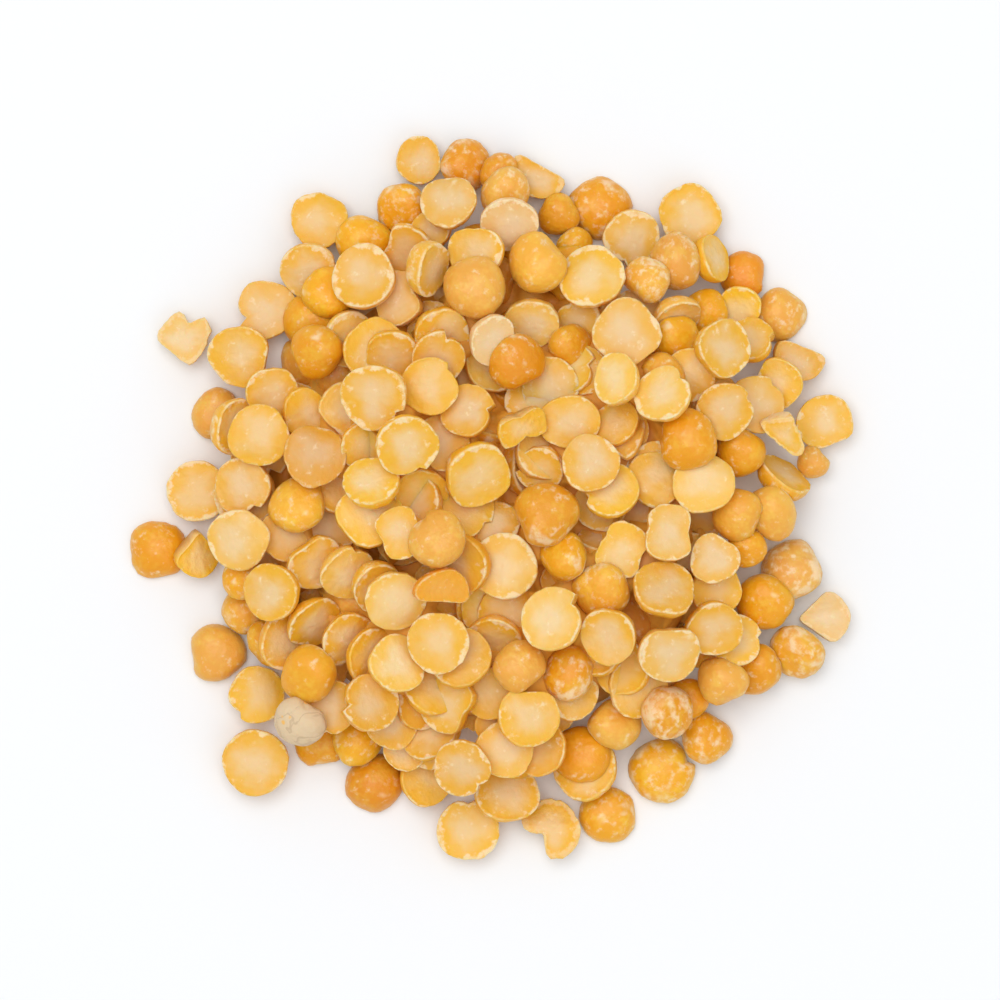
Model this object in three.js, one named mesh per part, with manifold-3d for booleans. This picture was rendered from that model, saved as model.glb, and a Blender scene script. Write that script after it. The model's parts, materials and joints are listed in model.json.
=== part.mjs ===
// A loose heap of yellow split peas, as poured out on a flat surface.
// Millimetres, +Z up. The origin lies on that surface, under the middle of the heap.
// The peas come down one after the other and lean on what they land on. A low core stands for the
// peas that are buried, and every pea that shows is fused to it and to its neighbours.

import * as THREE from 'three';
import { mergeVertices } from 'three/addons/utils/BufferGeometryUtils.js';
import Module from 'manifold-3d';

const wasm = await Module();
wasm.setup();

// Sizes of a pea

const thicknessShare = 0.45; // height of the dome over the width of the flat face
const domePower = 2.4; // 2 is an ellipse, and more gives a steeper wall and a flatter crown
const shoulderShare = 0.8; // where the few-sided dome bends, as a share of the half width
const peaSides = 8;
const middleShare = 0.4; // the point that a pea leans about, as a share of its thickness
const cutShare = 0.3; // how far from the middle a broken pea ends, as a share of the half width

// Sizes of the heap

const bedRadius = 24; // the low mound under the peas, in place of those at the very bottom
const bedHeight = 3;
const coreRadius = 41; // the core, which stands for the bed and all buried peas
const coreDepth = 2.6; // from the mean height of the peas down to the core
const coreRings = 10;
const coreSides = 36;
const footHeight = 0.8; // the core's thin foot, which joins the peas of the rim
const footDepth = 1; // from the mean height of those peas down to the foot
const moundRadius = 38; // the mound that the poured peas fill up
const moundHeight = 7.5;
const moundPower = 2.6; // 2 is a parabola, and more gives a fuller flank
const pouredRadius = 28;
const pouredCount = 95;
const pouredWidth = [5.6, 7.4];
const faceUpShare = 0.67; // of the poured peas, those with the flat face up
const domeUpShare = 0.24; // those with the dome up, and the rest stand on edge
const bite = 0.5; // how far a pea sinks into what it rests on
const leanMost = 0.65; // radians, for a pea that doesn't stand on edge or lean steeply
const pouredLean = 0.5; // most that a poured pea leans as it comes down
const placedLean = 0.4; // how far a pea with a known low side leans as it comes down
const steepLean = 0.8; // and one that leans steeply on its neighbour
const edgeLean = 1.15; // and one that stands on edge
const pouredSlide = 2.5; // first step of a slide
const placedSlide = 0.3;
const firstRock = 0.15; // first step, in radians, in which a pea rocks
const firstStandingRock = 0.08; // and one that stands on edge or leans steeply
const settleRounds = 12;
const stepShrink = 0.65; // each round's steps over those of the round before
const leastGain = 1e-6; // a step that lowers a pea by less is left out
const leastBite = 0.4; // mm3 that a pea shares with the rest
const drawStep = 0.15; // how far a pea that hangs free is drawn in at a time
const drawSteps = 20;
const leastShown = 18; // a pea with fewer grid cells in view from above counts as buried

// Peas round the rim, which draw the heap's uneven outline, as [x, y, width] by how they lie. A fourth
// number is the bearing, in degrees, of the missing side of a broken pea or of the low side of another.

const rim = {
  face: [
    [-8, 37.5, 5.5], [15.5, 29, 6.5], [22, 31.5, 7], [27.5, 21, 6], [31.5, 13, 6], [37, 8.5, 6.5],
    [10.5, -29.5, 8], [-2.5, -36.5, 7], [1.5, -32.5, 7.5], [-7.5, -31, 6], [-26, -29, 7.5],
    [-26, -21.5, 6.5], [-32.5, 1, 7], [-27.5, 16, 7.5], [-25, 21, 7], [-20, 25.5, 6.5], [-19, 31, 6.5],
  ],
  dome: [
    [-2.5, 37, 6], [1, 36, 5], [-10, 32, 6], [-14, 28.5, 6.5], [7.5, 31.5, 5], [9.5, 28, 4.5],
    [12, 32.5, 7], [20, 26, 6.5], [28, 25, 5.5], [32, 20.5, 6], [35.5, 4, 4], [30.5, -1.5, 6.5],
    [28, -5.5, 4.5], [33, -7.5, 7], [30, -11.5, 6.5], [33.5, -17, 6.5], [29, -19, 6.5], [24, -26, 6.5],
    [19, -30, 7.5], [13, -35, 6.5], [14, -24.5, 6.5], [10, -28, 7], [3, -28, 5.5], [-6, -25, 6],
    [-13, -31.5, 7], [-14.5, -26, 6.5], [-19, -27, 6], [-30.5, -17, 7], [-24, -15.5, 6], [-27, -12, 6],
    [-37, -5.5, 6.5], [-30.5, 9.5, 6],
  ],
  half: [
    [5.5, 36.5, 6.5, 60], [34, 16, 6, 70], [36.5, -13, 6.5, 185], [6.5, -36.5, 7, 225],
    [-34, 18, 6.5, 80], [-32.5, -5.5, 6, 90],
  ],
  edge: [[24, 26.5, 5.5, 10], [32, 2, 6.5, 60]],
};

// Peas that lie partly under the uppermost ones, in the same form

const flank = {
  face: [
    [-7, 29.5, 5, 200], [-10.5, 21.5, 6.5], [-6, 18.5, 7, 270], [-16, 18.5, 6.5], [-6, 16.5, 6.5],
    [-16.5, 10, 7, 100], [-21, 10, 6], [-24, 12.5, 6], [-13, 4.5, 6], [-26.5, 2, 6.5], [-2, 9, 6.5, 180],
    [9.5, 20.5, 5.5], [21.5, 14.5, 6, 180], [29, 17, 5.5, 80], [29, 10.5, 6.5], [18, 2.5, 6.5, 180],
    [14, 6.5, 7], [-13.5, -2, 7.5], [-10, -4, 6], [-3, -18, 7], [-4, -21.5, 7, 90], [-9.5, -27.5, 5],
    [13.5, 0.5, 6.5, 90], [14.5, -5.5, 6.5], [24, -10, 6], [27.5, -16, 6, 0], [15.5, -20, 7, 90],
    [12.5, -17.5, 5.5], [8.5, -21.5, 6.5, 90], [1.5, -26.5, 6.5, 120],
  ],
  dome: [
    [-18, 23, 6], [1.5, 34, 6], [20, 18, 5.5], [19, 14, 5.5], [23.5, 21.5, 5], [-27.5, -8.5, 5],
    [12, -9.5, 6.5], [8.5, -6.5, 6], [9, -19, 6.5], [22, -22, 5], [-6.5, 1.5, 5.5],
  ],
  steep: [
    [-28.5, 8.5, 6.5, 0], [-19, -6, 6.5, 310], [-16, -8, 6.5, 310], [-13.5, -8.5, 6.5, 310],
    [-19, -12.5, 6.5, 320], [-16.5, -14, 6.5, 320], [-14, -16, 6.5, 330],
  ],
  edge: [[20.5, 20.5, 5.5, 290]],
};

// Peas that lie over those, in the same form

const crown = {
  face: [
    [-0.5, 18, 6], [-20, 4.5, 7], [-27, -3.5, 7], [-23, -9.5, 6.5], [-4.5, 32.5, 6.5, 170],
    [-1.5, 28, 6.5, 90], [-13.5, 16.5, 7], [-7, 13, 6.5, 60], [-25.5, 7, 7], [2, 31, 6.5],
    [11.5, 24.5, 7.5, 120], [4, 20.5, 6.5], [19.5, 10.5, 6.5], [25, 16.5, 6.5, 10], [25, 10.5, 6.5, 0],
    [23.5, 1.5, 7], [5, 4.5, 7], [-12.5, 1, 6.5, 90], [-10.5, -10, 7], [-14, -21.5, 7, 60],
    [-11, -24, 6, 130], [-3, -29, 6.5], [24, -6.5, 6], [13, -14, 6.5, 170], [24, -13.5, 6.5],
  ],
  dome: [
    [5, 26, 7], [-21, -1, 6.5], [-2, 23, 7], [-19.5, 16, 6.5], [17.5, 24, 5.5], [8.5, 17, 5.5],
    [21.5, 6.5, 7], [27.5, 5.5, 6], [-20, -19, 7], [25.5, -20, 6], [19.5, -23.5, 6], [27.5, -1.5, 6],
  ],
  edge: [[-7, 25, 6.5, 340]],
};

// Peas that lie uppermost, in the same form

const uppermost = {
  face: [
    [-13.5, 24, 7.5], [14.5, 18.5, 7.5], [-12, 11.5, 7.5], [9, 9, 7], [-2, 3.5, 7.5], [11, 3.5, 6.5],
    [-9.5, 6.5, 7], [14.5, 12.5, 6], [2, -7.5, 7.5], [-5.5, -15.5, 7], [-11, -17.5, 6.5], [7.5, -13, 7.5],
    [4, -23.5, 7], [19, -4, 6.5], [18.5, -10.5, 7, 90], [18.5, -16, 7],
  ],
  dome: [[2.5, 15, 6.5], [-6, -4.5, 6.5], [6.5, -2, 7.5], [3, -18, 6], [-21, -24.5, 6]],
  half: [[31.5, 7, 6.5, 230], [2.5, 8.5, 6, 290], [-6, -10, 6.5, 265]],
};

// Seeded draws

let drawState = 7;

function draw(low, high) {
  drawState = (Math.imul(drawState, 1664525) + 1013904223) >>> 0;
  return low + ((high - low) * drawState) / 2 ** 32;
}

// Which peas there are, in the order in which they come down

function placedPeas(groups, slide) {
  const peas = [];
  const leanOf = { steep: steepLean, edge: edgeLean };
  for (const [lie, rows] of Object.entries(groups)) {
    for (const [x, y, width, bearing] of rows) {
      const low = ((bearing ?? draw(0, 360)) * Math.PI) / 180;
      const flat = bearing === undefined || lie === 'half' ? 0 : placedLean;
      peas.push({ x, y, width, lie, slide, low, lean: leanOf[lie] ?? flat });
    }
  }
  return peas.sort((a, b) => Math.hypot(b.x, b.y) - Math.hypot(a.x, a.y));
}

// How a pea comes to rest on those before it

const cell = 0.5;
const cellsAcross = 190;
const heights = new Float64Array(cellsAcross * cellsAcross);
const owners = new Int32Array(cellsAcross * cellsAcross).fill(-1);
for (let at = 0; at < heights.length; at++) {
  const x = cell * ((at % cellsAcross) + 0.5 - cellsAcross / 2);
  const y = cell * (Math.floor(at / cellsAcross) + 0.5 - cellsAcross / 2);
  heights[at] = Math.max(0, bedHeight * (1 - (x * x + y * y) / bedRadius ** 2));
}
const goldenAngle = Math.PI * (3 - Math.sqrt(5));

function cellAt(x, y) {
  const column = Math.floor(x / cell + cellsAcross / 2);
  const row = Math.floor(y / cell + cellsAcross / 2);
  return row * cellsAcross + column;
}

// Points over the flat face and the dome of a pea of unit half width and unit thickness.
function unitPoints(onFace, onDome) {
  const points = [];
  for (let k = 0; k < onFace; k++) {
    const r = Math.sqrt((k + 0.5) / onFace);
    points.push([r * Math.cos(k * goldenAngle), r * Math.sin(k * goldenAngle), 0]);
  }
  for (let k = 0; k < onDome; k++) {
    const z = (k + 0.5) / onDome;
    const r = (1 - z ** domePower) ** (1 / domePower);
    points.push([r * Math.cos(k * goldenAngle), r * Math.sin(k * goldenAngle), z]);
  }
  return points;
}

const facePoints = 360;
const domePoints = 480;
const peaPoints = unitPoints(facePoints, domePoints);

// Turns a pea the way it lies: spun about its own axis, turned over if its face is up, then leant.
function turnOf(pea, leanX, leanY) {
  const spin = new THREE.Quaternion().setFromAxisAngle(new THREE.Vector3(0, 0, 1), -pea.low);
  const over = new THREE.Quaternion(pea.lie === 'dome' ? 0 : 1, 0, 0, pea.lie === 'dome' ? 1 : 0);
  const angle = Math.hypot(leanX, leanY);
  const axis = angle > 0 ? new THREE.Vector3(leanX / angle, leanY / angle, 0) : new THREE.Vector3(1, 0, 0);
  return new THREE.Quaternion().setFromAxisAngle(axis, angle).multiply(over).multiply(spin);
}

function turnedPoints(pea, turn) {
  const thickness = thicknessShare * pea.width;
  return peaPoints
    .filter(([x]) => pea.lie !== 'half' || x < cutShare)
    .map(([x, y, z]) => [x * pea.width / 2, y * pea.width / 2, (z - middleShare) * thickness])
    .map((point) => new THREE.Vector3(...point).applyQuaternion(turn));
}

function restHeight(points, x, y) {
  let rest = 0;
  for (const p of points) {
    rest = Math.max(rest, heights[cellAt(x + p.x, y + p.y)] - p.z);
  }
  return rest;
}

// Lets a pea rock and slide in ever smaller steps while that brings it lower, then marks where it lies.
function settle(pea, index) {
  const standing = pea.lie === 'edge' || pea.lie === 'steep';
  const reach = Math.max(pouredRadius, Math.hypot(pea.x, pea.y));
  const pose = [pea.x, pea.y, -pea.lean * Math.sin(pea.low), pea.lean * Math.cos(pea.low)];
  const heightOf = ([x, y, leanX, leanY]) => restHeight(turnedPoints(pea, turnOf(pea, leanX, leanY)), x, y);
  let best = heightOf(pose);
  let leanStep = standing ? firstStandingRock : firstRock;
  let slideStep = pea.slide;
  for (let round = 0; round < settleRounds; round++) {
    for (let axis = 0; axis < 4; axis++) {
      for (const way of [-1, 1]) {
        const step = axis < 2 ? slideStep : leanStep;
        const moved = pose.with(axis, pose[axis] + way * step);
        const inside = Math.hypot(moved[0], moved[1]) < reach;
        const steady = standing || Math.hypot(moved[2], moved[3]) < leanMost;
        const height = step > 0 && (axis < 2 ? inside : steady) ? heightOf(moved) : best;
        if (height < best - leastGain) {
          best = height;
          pose[axis] = moved[axis];
        }
      }
    }
    leanStep *= stepShrink;
    slideStep *= stepShrink;
  }
  const turn = turnOf(pea, pose[2], pose[3]);
  const points = turnedPoints(pea, turn);
  const floor = Math.max(...points.map((p) => -p.z));
  pea.turn = turn;
  pea.floor = floor;
  pea.middle = new THREE.Vector3(pose[0], pose[1], Math.max(best - bite, floor));
  for (const p of points) {
    const at = cellAt(pea.middle.x + p.x, pea.middle.y + p.y);
    const top = pea.middle.z + p.z;
    if (top > heights[at]) {
      heights[at] = top;
      owners[at] = index;
    }
  }
}

// Mean height of what lies round a place.
function levelAt(x, y) {
  const reach = 2.5;
  const around = 12;
  let sum = 0;
  for (let k = 0; k < around; k++) {
    const r = reach * Math.sqrt((k + 0.5) / around);
    sum += heights[cellAt(x + r * Math.cos(k * goldenAngle), y + r * Math.sin(k * goldenAngle))];
  }
  return sum / around;
}

// How far the heap at a place still lies below the mound.
function lackAt(x, y) {
  return moundHeight * (1 - (Math.hypot(x, y) / moundRadius) ** moundPower) - levelAt(x, y);
}

// A poured pea comes down where, of a few places, the heap lacks most. Two steps that never fall
// into a pattern spread those places evenly.
function pouredPea(count) {
  const distanceStep = 0.7548776662;
  const bearingStep = 0.569840291;
  const tries = 80;
  let place = [0, 0];
  let most = -Infinity;
  for (let i = count * tries; i < (count + 1) * tries; i++) {
    const distance = pouredRadius * Math.sqrt((i * distanceStep) % 1);
    const bearing = 2 * Math.PI * ((i * bearingStep) % 1);
    const [x, y] = [distance * Math.cos(bearing), distance * Math.sin(bearing)];
    const lack = lackAt(x, y);
    if (lack > most) {
      most = lack;
      place = [x, y];
    }
  }
  const pick = draw(0, 1);
  const flat = pick < faceUpShare ? 'face' : 'dome';
  const lie = pick < faceUpShare + domeUpShare ? flat : 'edge';
  const low = draw(0, 2 * Math.PI);
  const lean = lie === 'edge' ? edgeLean : draw(0, pouredLean);
  return { x: place[0], y: place[1], width: draw(...pouredWidth), lie, low, lean, slide: pouredSlide };
}

function heapPeas() {
  const peas = [];
  const add = (pea) => {
    settle(pea, peas.length);
    peas.push(pea);
  };
  placedPeas(rim, 0).forEach(add);
  for (let count = 0; count < pouredCount; count++) {
    add(pouredPea(count));
  }
  for (const groups of [flank, crown, uppermost]) {
    placedPeas(groups, placedSlide).forEach(add);
  }
  return peas;
}

// Solids

const weldDistance = 1e-4;
const seamDecimals = 4; // the two sides of a lathe's seam read the same height when rounded so far

function solidOf(geometry) {
  geometry.deleteAttribute('normal');
  geometry.deleteAttribute('uv');
  const merged = mergeVertices(geometry, weldDistance);
  const corners = [];
  for (let i = 0; i < merged.index.count; i += 3) {
    const [a, b, c] = merged.index.array.slice(i, i + 3);
    if (a !== b && b !== c && c !== a) {
      corners.push(a, b, c);
    }
  }
  return new wasm.Manifold(new wasm.Mesh({
    numProp: 3,
    vertProperties: merged.attributes.position.array,
    triVerts: new Uint32Array(corners),
  }));
}

// A pea with few sides, as wide at its corners as gives it a round pea's area.
function peaSolid(pea) {
  const corner = Math.sqrt((2 * Math.PI) / (peaSides * Math.sin((2 * Math.PI) / peaSides))) * pea.width / 2;
  const thickness = thicknessShare * pea.width;
  const shoulder = (1 - shoulderShare ** domePower) ** (1 / domePower) * thickness;
  const profile = [[0, 0], [corner, 0], [corner * shoulderShare, shoulder], [0, thickness]];
  const outline = profile.map(([r, z]) => new THREE.Vector2(r, z));
  const geometry = new THREE.LatheGeometry(outline, peaSides).rotateX(Math.PI / 2);
  const whole = solidOf(geometry);
  const kept = pea.lie === 'half' ? whole.trimByPlane([-1, 0, 0], -cutShare * pea.width / 2) : whole;
  const place = new THREE.Matrix4().compose(pea.middle, pea.turn, new THREE.Vector3(1, 1, 1));
  const lowered = new THREE.Matrix4().makeTranslation(0, 0, -middleShare * thickness);
  return kept.transform(place.multiply(lowered).toArray());
}

// The core follows the settled peas from inside. Where it lies below the surface it is cut off later.
function coreSolid() {
  const outline = [new THREE.Vector2(0, -footHeight), new THREE.Vector2(coreRadius, -footHeight)];
  for (let ring = coreRings; ring >= 0; ring--) {
    outline.push(new THREE.Vector2((coreRadius * ring) / coreRings, 0));
  }
  const geometry = new THREE.LatheGeometry(outline, coreSides).rotateX(Math.PI / 2);
  const points = geometry.attributes.position;
  for (let i = 0; i < points.count; i++) {
    const [x, y] = [points.getX(i), points.getY(i)].map((value) => Number(value.toFixed(seamDecimals)));
    const level = levelAt(x, y);
    const top = Math.max(level - coreDepth, Math.min(footHeight, level - footDepth), -footHeight / 2);
    points.setZ(i, points.getZ(i) < -footHeight / 2 ? -footHeight : top);
  }
  return solidOf(geometry);
}

function largestOf(solid) {
  return solid.decompose().reduce((a, b) => (b.volume() > a.volume() ? b : a));
}

// Fuses the peas that show, flush with the surface below. One that hangs free is drawn in towards the
// foot of the core, the inner ones first, until it bites.
function fusedBody(peas) {
  let body = largestOf(wasm.Manifold.union([coreSolid(), ...peas.map(peaSolid)]));
  const bites = (pea) => body.intersect(peaSolid(pea)).volume() > leastBite;
  const loose = peas.filter((pea) => !bites(pea));
  loose.sort((a, b) => Math.hypot(a.middle.x, a.middle.y) - Math.hypot(b.middle.x, b.middle.y));
  for (const pea of loose) {
    const inward = pea.middle.clone().normalize().multiplyScalar(-drawStep);
    for (let step = 0; step < drawSteps && !bites(pea); step++) {
      pea.middle.add(inward);
      pea.middle.z = Math.max(pea.middle.z, pea.floor);
    }
    body = body.add(peaSolid(pea));
  }
  return largestOf(body.trimByPlane([0, 0, 1], 0));
}

// The heap

const peas = heapPeas();
const cellsShown = new Int32Array(peas.length);
for (const owner of owners.filter((index) => index >= 0)) {
  cellsShown[owner] += 1;
}
const shown = peas.filter((pea, index) => cellsShown[index] >= leastShown);

const body = fusedBody(shown);
const mesh = body.getMesh();
const heapGeometry = new THREE.BufferGeometry();
heapGeometry.setAttribute('position', new THREE.BufferAttribute(mesh.vertProperties, 3));
heapGeometry.setIndex(new THREE.BufferAttribute(mesh.triVerts, 1));

const heap = new THREE.Mesh(
  heapGeometry,
  new THREE.MeshStandardMaterial({ color: 0xeeb863, roughness: 0.6, metalness: 0 }),
);
heap.name = 'split_pea_heap';

const part = new THREE.Group();
part.add(heap);

export default part;
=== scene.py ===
import json
import math

import bmesh
import bpy
import numpy as np
from mathutils import Matrix

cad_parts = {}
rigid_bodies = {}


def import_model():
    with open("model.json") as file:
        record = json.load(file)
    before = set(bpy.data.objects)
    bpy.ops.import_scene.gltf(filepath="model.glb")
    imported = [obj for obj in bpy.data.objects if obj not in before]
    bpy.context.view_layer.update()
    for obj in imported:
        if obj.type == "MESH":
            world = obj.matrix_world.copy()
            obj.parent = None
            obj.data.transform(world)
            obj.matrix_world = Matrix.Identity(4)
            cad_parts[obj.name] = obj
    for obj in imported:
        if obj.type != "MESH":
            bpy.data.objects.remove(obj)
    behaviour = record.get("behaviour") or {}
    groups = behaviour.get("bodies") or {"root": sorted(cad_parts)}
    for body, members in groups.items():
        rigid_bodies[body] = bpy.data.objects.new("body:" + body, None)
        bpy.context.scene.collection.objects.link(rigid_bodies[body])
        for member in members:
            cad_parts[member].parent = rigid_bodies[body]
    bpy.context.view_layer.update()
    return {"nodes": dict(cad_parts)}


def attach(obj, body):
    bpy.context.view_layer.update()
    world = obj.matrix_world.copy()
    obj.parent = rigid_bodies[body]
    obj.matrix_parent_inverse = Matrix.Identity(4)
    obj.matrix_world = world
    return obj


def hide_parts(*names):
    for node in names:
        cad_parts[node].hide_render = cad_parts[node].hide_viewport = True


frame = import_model()
print("frame loaded:", ", ".join(frame["nodes"]))

# how the peas lie, in millimetres, by the same rule as the solids
heap = {
    "thickness": 0.45,       # of a pea, as a share of its width
    "domePower": 2.4,
    "leanPoint": 0.4,        # share of the thickness
    "cut": 0.3,              # where a broken pea ends, share of the half width
    "bedRadius": 24, "bedHeight": 3,
    "moundRadius": 38, "moundHeight": 7.5, "moundPower": 2.6,
    "pouredRadius": 28, "pouredCount": 95, "pouredWidth": (5.6, 7.4), "tries": 80,
    "faceUp": 0.67, "domeUp": 0.24,
    "bite": 0.5, "leanMost": 0.65,
    "lean": {"poured": 0.5, "placed": 0.4, "steep": 0.8, "edge": 1.15},    # as a pea comes down
    "slide": {"rim": 0, "poured": 2.5, "placed": 0.3},       # first step
    "rock": {"flat": 0.15, "standing": 0.08},                # first step, in radians
    "rounds": 12, "shrink": 0.65, "leastGain": 1e-6,         # of those steps
    "levelReach": 2.5, "seed": 7,
}

# single peas from the rim up to the top: x, y, width, then the bearing of the low side, or, for broken
# ones, the bearing of the missing side and the shape
rimPeas = {
    "face": [
        (-8, 37.5, 5.5), (15.5, 29, 6.5), (22, 31.5, 7), (27.5, 21, 6), (31.5, 13, 6), (37, 8.5, 6.5),
        (10.5, -29.5, 8), (-2.5, -36.5, 7), (1.5, -32.5, 7.5), (-7.5, -31, 6), (-26, -29, 7.5),
        (-26, -21.5, 6.5), (-32.5, 1, 7), (-27.5, 16, 7.5), (-25, 21, 7), (-20, 25.5, 6.5),
        (-19, 31, 6.5),
    ],
    "dome": [
        (-2.5, 37, 6), (1, 36, 5), (-10, 32, 6), (-14, 28.5, 6.5), (7.5, 31.5, 5), (9.5, 28, 4.5),
        (12, 32.5, 7), (20, 26, 6.5), (28, 25, 5.5), (32, 20.5, 6), (35.5, 4, 4), (30.5, -1.5, 6.5),
        (28, -5.5, 4.5), (33, -7.5, 7), (30, -11.5, 6.5), (33.5, -17, 6.5), (29, -19, 6.5),
        (24, -26, 6.5), (19, -30, 7.5), (13, -35, 6.5), (14, -24.5, 6.5), (10, -28, 7), (3, -28, 5.5),
        (-6, -25, 6), (-13, -31.5, 7), (-14.5, -26, 6.5), (-19, -27, 6), (-30.5, -17, 7), (-24, -15.5, 6),
        (-27, -12, 6), (-37, -5.5, 6.5), (-30.5, 9.5, 6),
    ],
    "half": [
        (5.5, 36.5, 6.5, 60, "halfMoon"), (34, 16, 6, 70, "straightEdge"), (36.5, -13, 6.5, 185, "fan"),
        (6.5, -36.5, 7, 225, "elbow"), (-34, 18, 6.5, 80, "cleft"), (-32.5, -5.5, 6, 90, "fan"),
    ],
    "edge": [(24, 26.5, 5.5, 10), (32, 2, 6.5, 60)],
}
flankPeas = {
    "face": [
        (-7, 29.5, 5, 200), (-10.5, 21.5, 6.5), (-6, 18.5, 7, 270), (-16, 18.5, 6.5), (-6, 16.5, 6.5),
        (-16.5, 10, 7, 100), (-21, 10, 6), (-24, 12.5, 6), (-13, 4.5, 6), (-26.5, 2, 6.5),
        (-2, 9, 6.5, 180), (9.5, 20.5, 5.5), (21.5, 14.5, 6, 180), (29, 17, 5.5, 80), (29, 10.5, 6.5),
        (18, 2.5, 6.5, 180), (14, 6.5, 7), (-13.5, -2, 7.5), (-10, -4, 6), (-3, -18, 7),
        (-4, -21.5, 7, 90), (-9.5, -27.5, 5), (13.5, 0.5, 6.5, 90), (14.5, -5.5, 6.5), (24, -10, 6),
        (27.5, -16, 6, 0), (15.5, -20, 7, 90), (12.5, -17.5, 5.5), (8.5, -21.5, 6.5, 90),
        (1.5, -26.5, 6.5, 120),
    ],
    "dome": [
        (-18, 23, 6), (1.5, 34, 6), (20, 18, 5.5), (19, 14, 5.5), (23.5, 21.5, 5), (-27.5, -8.5, 5),
        (12, -9.5, 6.5), (8.5, -6.5, 6), (9, -19, 6.5), (22, -22, 5), (-6.5, 1.5, 5.5),
    ],
    "steep": [
        (-28.5, 8.5, 6.5, 0), (-19, -6, 6.5, 310), (-16, -8, 6.5, 310), (-13.5, -8.5, 6.5, 310),
        (-19, -12.5, 6.5, 320), (-16.5, -14, 6.5, 320), (-14, -16, 6.5, 330),
    ],
    "edge": [(20.5, 20.5, 5.5, 290)],
}
crownPeas = {
    "face": [
        (-0.5, 18, 6), (-20, 4.5, 7), (-27, -3.5, 7), (-23, -9.5, 6.5), (-4.5, 32.5, 6.5, 170),
        (-1.5, 28, 6.5, 90), (-13.5, 16.5, 7), (-7, 13, 6.5, 60), (-25.5, 7, 7), (2, 31, 6.5),
        (11.5, 24.5, 7.5, 120), (4, 20.5, 6.5), (19.5, 10.5, 6.5), (25, 16.5, 6.5, 10),
        (25, 10.5, 6.5, 0), (23.5, 1.5, 7), (5, 4.5, 7), (-12.5, 1, 6.5, 90), (-10.5, -10, 7),
        (-14, -21.5, 7, 60), (-11, -24, 6, 130), (-3, -29, 6.5), (24, -6.5, 6), (13, -14, 6.5, 170),
        (24, -13.5, 6.5),
    ],
    "dome": [
        (5, 26, 7), (-21, -1, 6.5), (-2, 23, 7), (-19.5, 16, 6.5), (17.5, 24, 5.5), (8.5, 17, 5.5),
        (21.5, 6.5, 7), (27.5, 5.5, 6), (-20, -19, 7), (25.5, -20, 6), (19.5, -23.5, 6), (27.5, -1.5, 6),
    ],
    "edge": [(-7, 25, 6.5, 340)],
}
topPeas = {
    "face": [
        (-13.5, 24, 7.5), (14.5, 18.5, 7.5), (-12, 11.5, 7.5), (9, 9, 7), (-2, 3.5, 7.5), (11, 3.5, 6.5),
        (-9.5, 6.5, 7), (14.5, 12.5, 6), (2, -7.5, 7.5), (-5.5, -15.5, 7), (-11, -17.5, 6.5),
        (7.5, -13, 7.5), (4, -23.5, 7), (19, -4, 6.5), (18.5, -10.5, 7, 90), (18.5, -16, 7),
    ],
    "dome": [(2.5, 15, 6.5), (-6, -4.5, 6.5), (6.5, -2, 7.5), (3, -18, 6), (-21, -24.5, 6)],
    "half": [(31.5, 7, 6.5, 230, "lump"), (2.5, 8.5, 6, 290, "bowTie"), (-6, -10, 6.5, 265, "halfMoon")],
}

drawState = [heap["seed"]]


def draw(low, high):
    drawState[0] = (drawState[0] * 1664525 + 1013904223) % 2 ** 32
    return low + (high - low) * drawState[0] / 2 ** 32


cell = 0.5
cellsAcross = 190
goldenAngle = math.pi * (3 - math.sqrt(5))
cellMiddle = cell * (np.arange(cellsAcross) + 0.5 - cellsAcross / 2)
bedShape = 1 - (cellMiddle[None, :] ** 2 + cellMiddle[:, None] ** 2) / heap["bedRadius"] ** 2
heights = np.maximum(0, heap["bedHeight"] * bedShape).ravel()


def cellAt(x, y):
    column = np.floor(x / cell + cellsAcross / 2).astype(int)
    row = np.floor(y / cell + cellsAcross / 2).astype(int)
    return row * cellsAcross + column


def unitPoints(onFace, onDome):
    k = np.arange(onFace)
    r = np.sqrt((k + 0.5) / onFace)
    face = np.stack([r * np.cos(k * goldenAngle), r * np.sin(k * goldenAngle), 0 * r], 1)
    k = np.arange(onDome)
    z = (k + 0.5) / onDome
    r = (1 - z ** heap["domePower"]) ** (1 / heap["domePower"])
    dome = np.stack([r * np.cos(k * goldenAngle), r * np.sin(k * goldenAngle), z], 1)
    return np.concatenate([face, dome])


peaPoints = unitPoints(360, 480)


# spun about its own axis, turned over if its face is up, then leant
def turnOf(pea, leanX, leanY):
    c, s = math.cos(pea["low"]), math.sin(pea["low"])
    spin = np.array([[c, s, 0], [-s, c, 0], [0, 0, 1]])
    over = np.eye(3) if pea["lie"] == "dome" else np.diag([1.0, -1.0, -1.0])
    angle = math.hypot(leanX, leanY)
    x, y = (leanX / angle, leanY / angle) if angle > 0 else (1.0, 0.0)
    c, s = math.cos(angle), math.sin(angle)
    lean = np.array([
        [c + x * x * (1 - c), x * y * (1 - c), y * s],
        [x * y * (1 - c), c + y * y * (1 - c), -x * s],
        [-y * s, x * s, c],
    ])
    return lean @ over @ spin


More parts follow.
